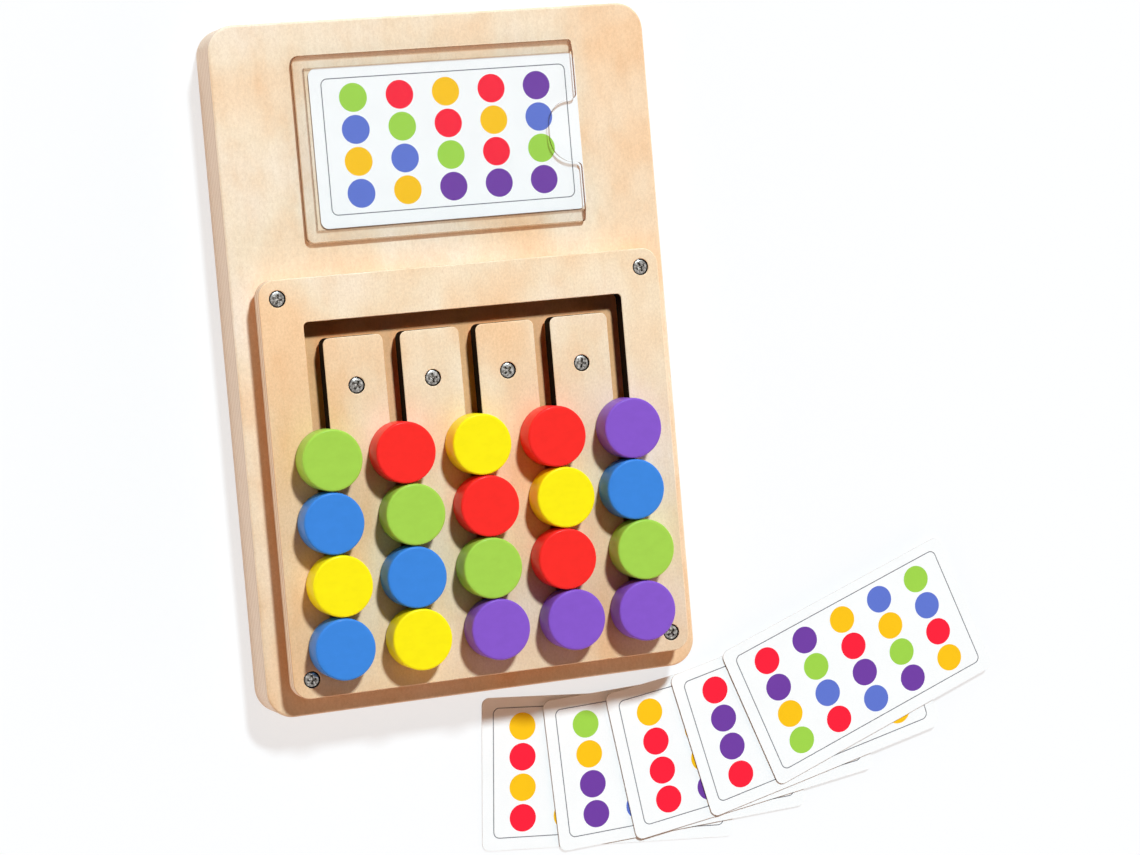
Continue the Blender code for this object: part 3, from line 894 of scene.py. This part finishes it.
# %% Holder rim
HOLDER_CORNER = 3 * MM
HOLDER_END_CORNER = 1.5 * MM
HOLDER_RIM_WIDTH = 5.5 * MM
WALL_LEAN = 0.3
FLAT_LEAN = 0.995
OUTER_SKIN = 1 * MM
GLUE = 0.05 * MM


def use_acrylic(bm, low, high, glued_below):
    """Sorts the faces of a clear piece into face, slope, wall, inner wall and joint."""
    bmesh.ops.recalc_face_normals(bm, faces=bm.faces[:])
    for face in bm.faces:
        lean = abs(face.normal.z)
        if lean < WALL_LEAN:
            face.material_index = INNER_WALL if depth_inside(face, low, high) > OUTER_SKIN else WALL
        elif lean < FLAT_LEAN:
            face.material_index = SLOPE
        else:
            face.material_index = JOINT if face.calc_center_median().z < glued_below else FACE


def rim_corners(low, high):
    """The U: its open end on the right, its outer corners round, its inner ones square."""
    left, right, foot, head = low[0], high[0], low[1], high[1]
    width = HOLDER_RIM_WIDTH
    return [
        (right, foot, HOLDER_END_CORNER),
        (right, foot + width, 0),
        (left + width, foot + width, 0),
        (left + width, head - width, 0),
        (right, head - width, 0),
        (right, head, HOLDER_END_CORNER),
        (left, head, HOLDER_CORNER),
        (left, foot, HOLDER_CORNER),
    ]


rim_low, rim_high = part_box("holder_rim")
rim_foot = board_high[2] + GLUE
rim_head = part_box("holder_cover")[0][2] - GLUE
bm = bmesh.new()
flat = flat_face(bm, rim_corners(rim_low, rim_high), rim_foot)
thicken(bm, [flat], rim_head - rim_foot)
use_acrylic(bm, rim_low, rim_high, glued_below=rim_head + OUTER_SKIN)
finished("clear_rim", bm, acrylic, "board", ["holder_rim"])
print("rim", millimetres(rim_low, rim_high), "mm")

# %% [markdown]
# ## Holder cover
#
# The cover is one clear plate with sloping sides, like a picture frame, and a half-round notch on its
# right for a thumb. Insetting its top face would slope every side, the notch too. Four copies of one
# outline are bridged instead: two for the low upright edge, one a little way up the slope, and one for the
# top. The right side stays upright. The slope's lowest strip is painted browner, a painted shade for the
# soft line which real plastic shows where light is caught in its thin edge.

# %% Holder cover
COVER_EDGE = 0.6 * MM
SLOPE_WIDTH = 4.8 * MM
SLOPE_CORNER = 1 * MM
LINE_BAND_WIDTH = 0.4 * MM
NOTCH_WIDTH = 28 * MM
NOTCH_DEPTH = 14 * MM
NOTCH_CORNER = 11.5 * MM
NOTCH_MOUTH = 2.4 * MM
TOP_SKIN = 0.1 * MM
COVER_CORNER_STEPS = 16


def cover_corners(low, high, inset):
    """The cover's outline, with its three sloping sides drawn in by an inset."""
    up_the_slope = inset / SLOPE_WIDTH
    left_corner = HOLDER_CORNER + (SLOPE_CORNER - HOLDER_CORNER) * up_the_slope
    right_corner = HOLDER_END_CORNER + (SLOPE_CORNER - HOLDER_END_CORNER) * up_the_slope
    middle = middle_of(low, high).y
    notch_foot, notch_head = middle - NOTCH_WIDTH / 2, middle + NOTCH_WIDTH / 2
    left, right, foot, head = low[0] + inset, high[0], low[1] + inset, high[1] - inset
    return [
        (right, foot, right_corner),
        (right, notch_foot, NOTCH_MOUTH),
        (right - NOTCH_DEPTH, notch_foot, NOTCH_CORNER),
        (right - NOTCH_DEPTH, notch_head, NOTCH_CORNER),
        (right, notch_head, NOTCH_MOUTH),
        (right, head, right_corner),
        (left, head, left_corner),
        (left, foot, left_corner),
    ]


cover_low, cover_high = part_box("holder_cover")
slope_foot = cover_low[2] + COVER_EDGE
steepness = (cover_high[2] - slope_foot) / SLOPE_WIDTH
insets = (0, LINE_BAND_WIDTH, SLOPE_WIDTH)
levels = [(cover_low[2], 0)] + [(slope_foot + inset * steepness, inset) for inset in insets]
bm = bmesh.new()
faces = []
for z, inset in levels:
    corners = cover_corners(cover_low, cover_high, inset)
    faces.append(flat_face(bm, corners, z, COVER_CORNER_STEPS))
loops = [list(face.edges) for face in faces]
bmesh.ops.delete(bm, geom=faces[1:-1], context="FACES_ONLY")
for lower, upper in zip(loops, loops[1:]):
    bmesh.ops.bridge_loops(bm, edges=lower + upper)
use_acrylic(bm, cover_low, cover_high, glued_below=cover_high[2] - TOP_SKIN)
# The slope's lowest strip gets the painted shade of the line band.
for face in bm.faces:
    climbed = (face.calc_center_median().z - slope_foot) / steepness
    if face.material_index == SLOPE and climbed < LINE_BAND_WIDTH:
        face.material_index = LINE_BAND
finished("clear_cover", bm, acrylic, "board", ["holder_cover"], smooth=10)
print("cover", millimetres(cover_low, cover_high), "mm")

# %% [markdown]
# ## Card finish
#
# Each card is coated white board, printed with a thin rounded line and twenty dots. The print could be an
# image on the card. Here it is part of the mesh, so it stays crisp from close by: the dots and the line
# are faces of their own, and a colour attribute holds their ink. The material reads that attribute and
# adds the mottle of ink on paper.

# %% Card finish
PAPER_RELIEF = 0.006 * MM

card_finish, tree, shader = new_material("coated_card", Specular_IOR_Level=0.25)
ink = add(tree, "Attribute", attribute_name="ink").outputs["Color"]
paper = patches(tree, (0.5, 0.5, 0.5), detail=3.0)
wash = patches(tree, (14, 14, 14))
fine_mottle = ramp(tree, paper, (0.3, 1.01), (0.7, 0.975))
mottle = multiply(tree, fine_mottle, ramp(tree, wash, (0.3, 1.0), (0.7, 0.98)))
roughness = ramp(tree, paper, (0.2, 0.5), (0.8, 0.62))
dress(tree, shader, multiply(tree, ink, mottle), roughness, paper, PAPER_RELIEF)
print("card finish", card_finish.name)

# %% [markdown]
# ## Cards
#
# One card sits in the holder and five lie in a loose fan. Each is built flat about its middle: its
# outline, the line's two outlines and the dots are drawn in one plane, and triangle fills cover the
# regions between them, each in its own ink. The sheet is then thickened downwards, its sides are painted
# grey, and it is turned and laid in its place. A row of letters says the colours of a row of dots.

# %% Patterns of the cards
INKS = {
    "G": screen_colour(160, 212, 70),
    "B": screen_colour(94, 116, 204),
    "Y": screen_colour(255, 196, 0),
    "R": screen_colour(254, 20, 52),
    "P": screen_colour(110, 56, 157),
}
PAPER = screen_colour(254, 253, 250)
GREY_SIDES = screen_colour(205, 196, 188)
LINE = screen_colour(120, 120, 124)

CARD_ROWS = {
    "pattern_card": ("GRYRP", "BGRYB", "YBGRG", "BYPPP"),
    "loose_card_1": ("YRBPP", "RYGBG", "YRBPP", "RYGBG"),
    "loose_card_2": ("GGGYY", "YBYRR", "PBGRP", "PBPRB"),
    "loose_card_3": ("YYBRP", "RYGBP", "RYGBP", "RPGPP"),
    "loose_card_4": ("RBGRP", "PYBGP", "PYBGY", "RBGRY"),
    "loose_card_5": ("RPYBG", "PGRYB", "YBPGR", "GRBPY"),
}
CARD_TURNS = {
    "loose_card_1": -5,
    "loose_card_2": 2,
    "loose_card_3": 8,
    "loose_card_4": 13,
    "loose_card_5": 20,
}
print("cards", len(CARD_ROWS), "with", sum(len(row) for row in CARD_ROWS["pattern_card"]), "dots each")

# %% Outlines of the print
CARD_CORNER = 3.5 * MM
CARD_TRIM = 0.02 * MM
LINE_INSET = 5 * MM
LINE_WIDTH = 0.45 * MM
LINE_CORNER = 3 * MM
DOT_RADIUS = 6.3 * MM
DOT_PITCH_X = 21.15 * MM
DOT_PITCH_Y = 13.9 * MM
PRINT_SHIFT = Vector((0.2 * MM, 0.4 * MM))
DOT_STEPS = 48
CARD_CORNER_STEPS = 8

card_box = [Vector(corner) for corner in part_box("pattern_card")]
CARD_SIZE = card_box[1] - card_box[0]


def card_outlines(bm):
    """The edges of the card's outline and of the line's outer and inner ones."""
    half = CARD_SIZE.xy / 2
    outlines = []
    for inset, radius, shift in (
        (CARD_TRIM, CARD_CORNER, Vector((0, 0))),
        (LINE_INSET, LINE_CORNER, PRINT_SHIFT),
        (LINE_INSET + LINE_WIDTH, LINE_CORNER - LINE_WIDTH, PRINT_SHIFT),
    ):
        corners = box_corners(shift - half, shift + half, radius, inset)
        face = flat_face(bm, corners, 0, CARD_CORNER_STEPS)
        outlines.append(list(face.edges))
    bmesh.ops.delete(bm, geom=bm.faces[:], context="FACES_ONLY")
    return outlines


def card_dots(bm, rows):
    """A round face for each letter of the rows, with its letter."""
    dots = []
    for row, letters in enumerate(rows):
        for column, letter in enumerate(letters):
            x = (column - (len(letters) - 1) / 2) * DOT_PITCH_X
            y = ((len(rows) - 1) / 2 - row) * DOT_PITCH_Y
            place = Matrix.Translation((*(PRINT_SHIFT + Vector((x, y))), 0))
            made = bmesh.ops.create_circle(
                bm, cap_ends=True, segments=DOT_STEPS, radius=DOT_RADIUS, matrix=place
            )
            dots.append((made["verts"][0].link_faces[0], letter))
    return dots


print("a card measures", millimetres(*card_box), "mm")


# %% Cards
def paint_faces(faces, layer, colour):
    """Writes an ink into the corners of faces."""
    for face in faces:
        for loop in face.loops:
            loop[layer] = (*colour, 1)


def fill_and_paint(bm, edges, layer, colour):
    """Fills the region between outlines, in one ink."""
    made = bmesh.ops.triangle_fill(bm, use_beauty=True, edges=edges)["geom"]
    paint_faces([item for item in made if isinstance(item, bmesh.types.BMFace)], layer, colour)


def make_card(node, rows):
    """A card with its print, built flat about its middle and then laid in its place."""
    bm = bmesh.new()
    layer = bm.loops.layers.float_color.new("ink")
    outline, line_outside, line_inside = card_outlines(bm)
    dots = card_dots(bm, rows)
    dot_edges = [edge for face, _ in dots for edge in face.edges]
    fill_and_paint(bm, outline + line_outside, layer, PAPER)
    fill_and_paint(bm, line_outside + line_inside, layer, LINE)
    fill_and_paint(bm, line_inside + dot_edges, layer, PAPER)
    for face, letter in dots:
        paint_faces([face], layer, INKS[letter])
    printed = bm.faces[:]
    thicken(bm, printed, -CARD_SIZE.z)
    paint_faces(set(bm.faces) - set(printed), layer, GREY_SIDES)
    turn = Matrix.Rotation(math.radians(CARD_TURNS.get(node, 0)), 3, "Z")
    bmesh.ops.rotate(bm, verts=bm.verts[:], cent=(0, 0, 0), matrix=turn)
    low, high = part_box(node)
    bmesh.ops.translate(bm, verts=bm.verts[:], vec=(*middle_of(low, high).xy, high[2]))
    finished("printed_" + node, bm, [card_finish], node, [node], smooth=20)


for node, rows in CARD_ROWS.items():
    make_card(node, rows)
print("cards", len(CARD_ROWS))

# %% [markdown]
# ## Key lamp
#
# One strong lamp high above the top edge throws the crisp shadows of the knobs and the slots. An area lamp
# could stand there, but its light would fade across the board. A Sun lamp lights it evenly, and its angle,
# the width over which it is seen, blurs the shadows a little.

# %% Key lamp
KEY_FROM = Vector((0.22, 0.75, 1.0))
KEY_STRENGTH = 3.62
KEY_WIDTH = math.radians(6)
KEY_COLOUR = (0.765, 0.908, 0.996)

key = bpy.data.objects.new("key", bpy.data.lights.new("key", "SUN"))
key.data.energy = KEY_STRENGTH
key.data.angle = KEY_WIDTH
key.data.color = KEY_COLOUR
key.rotation_euler = KEY_FROM.to_track_quat("Z", "Y").to_euler()
scene.collection.objects.link(key)
print("key lamp from", [round(part, 2) for part in KEY_FROM.normalized()])

# %% [markdown]
# ## Sky
#
# A faint warm sky fills the shadows. If it were even, it would also light the floor of the slots, so it is
# a band near the horizon, strongest at the left and right: open shadows and the sides of the board get its
# light, and the deep slots stay dark. A redder glow at the lower right, as from a wooden table, lightens
# the shadows that fall towards it. What is seen directly is plain white, the studio's background, and so
# is what polished steel and clear plastic mirror.

# %% Sky
SKY_COLOUR = (1.0, 0.72, 0.56)
SKY_STRENGTH = 1.35
SKY_HIGH_SHARE = 0.005
SKY_END_SHARE = 0.3
GLOW_FROM = Vector((0.5, -0.87, 0.0))
GLOW_SHARE = (0.79, 0.51, 0.39)
NO_MATTE_BOUNCE = 0.5
WHITE = (1, 1, 1, 1)


def background(tree, colour, strength):
    """A world background with a colour, given as a plain one or as an output."""
    return add(tree, "Background", ("Color", colour), ("Strength", strength)).outputs[0]


def seen_directly(tree):
    """1 for what the camera sees, by itself or in a mirror, and 0 for what lights matte things."""
    path = add(tree, "LightPath").outputs
    bounced = calculate(tree, "MAXIMUM", path["Is Glossy Ray"], path["Is Transmission Ray"])
    unlit = calculate(tree, "LESS_THAN", path["Diffuse Depth"], NO_MATTE_BOUNCE)
    mirrored = calculate(tree, "MULTIPLY", bounced, unlit)
    return calculate(tree, "MAXIMUM", path["Is Camera Ray"], mirrored)


world = bpy.data.worlds.new("studio")
world.use_nodes = True
tree = world.node_tree
tree.nodes.clear()
direction = add(tree, "TexCoord").outputs["Generated"]
towards = add(tree, "SeparateXYZ", ("Vector", direction)).outputs
low_share = ramp(tree, towards["Z"], (0.3, 1.0), (0.62, SKY_HIGH_SHARE))
side_share = ramp(tree, calculate(tree, "ABSOLUTE", towards["X"]), (0.15, SKY_END_SHARE), (0.7, 1.0))
facing_glow = add(tree, "VectorMath", (0, direction), (1, GLOW_FROM), operation="DOT_PRODUCT")
glow_share = ramp(tree, facing_glow.outputs["Value"], (0.2, 0.0), (0.8, GLOW_SHARE))
round_share = mix(tree, 1.0, side_share, glow_share, "ADD")
sky_colour = multiply(tree, SKY_COLOUR, multiply(tree, low_share, round_share))
sky = background(tree, sky_colour, SKY_STRENGTH)
white = background(tree, WHITE, 1.0)
shown = add(tree, "MixShader", (0, seen_directly(tree)), (1, sky), (2, white))
add(tree, "OutputWorld", ("Surface", shown.outputs[0]))
scene.world = world
print("sky strength", SKY_STRENGTH, "at the horizon")

# %% [markdown]
# ## Floor
#
# The puzzle lies on a wide pale floor. Lit well enough to look white, it would need lamps that bleach the
# wood, so the part of it that is seen directly glows a little, and the rest of it keeps the soft shadow.
# Matte things see no glow, only a pale floor.

# %% Floor
FLOOR_SIDE = 6.0
FLOOR_GAP = 0.05 * MM
FLOOR_GLOW_SHARE = 0.72
FLOOR_PALE = (0.97, 0.97, 0.97, 1)

floor_paint, tree = empty_material("studio_floor")
matte = add(tree, "BsdfDiffuse", ("Color", FLOOR_PALE))
glow = add(tree, "Emission", ("Color", WHITE), ("Strength", 1.0))
share = calculate(tree, "MULTIPLY", seen_directly(tree), FLOOR_GLOW_SHARE)
shown = add(tree, "MixShader", (0, share), (1, matte.outputs[0]), (2, glow.outputs[0]))
add(tree, "OutputMaterial", ("Surface", shown.outputs[0]))

bm = bmesh.new()
bmesh.ops.create_grid(bm, x_segments=1, y_segments=1, size=FLOOR_SIDE / 2)
bmesh.ops.translate(bm, verts=bm.verts[:], vec=(0, 0, cad_box[0][2] - FLOOR_GAP))
mesh = bpy.data.meshes.new("studio_floor")
bm.to_mesh(mesh)
bm.free()
mesh.materials.append(floor_paint)
floor = bpy.data.objects.new("studio_floor", mesh)
scene.collection.objects.link(floor)
print("floor", FLOOR_SIDE, "m wide")

# %% [markdown]
# ## Finish
#
# The Standard view shows each colour as it is written. The dressed puzzle has to stay inside the box of
# the imported model.

# %% Finish
scene.view_settings.view_transform = "Standard"
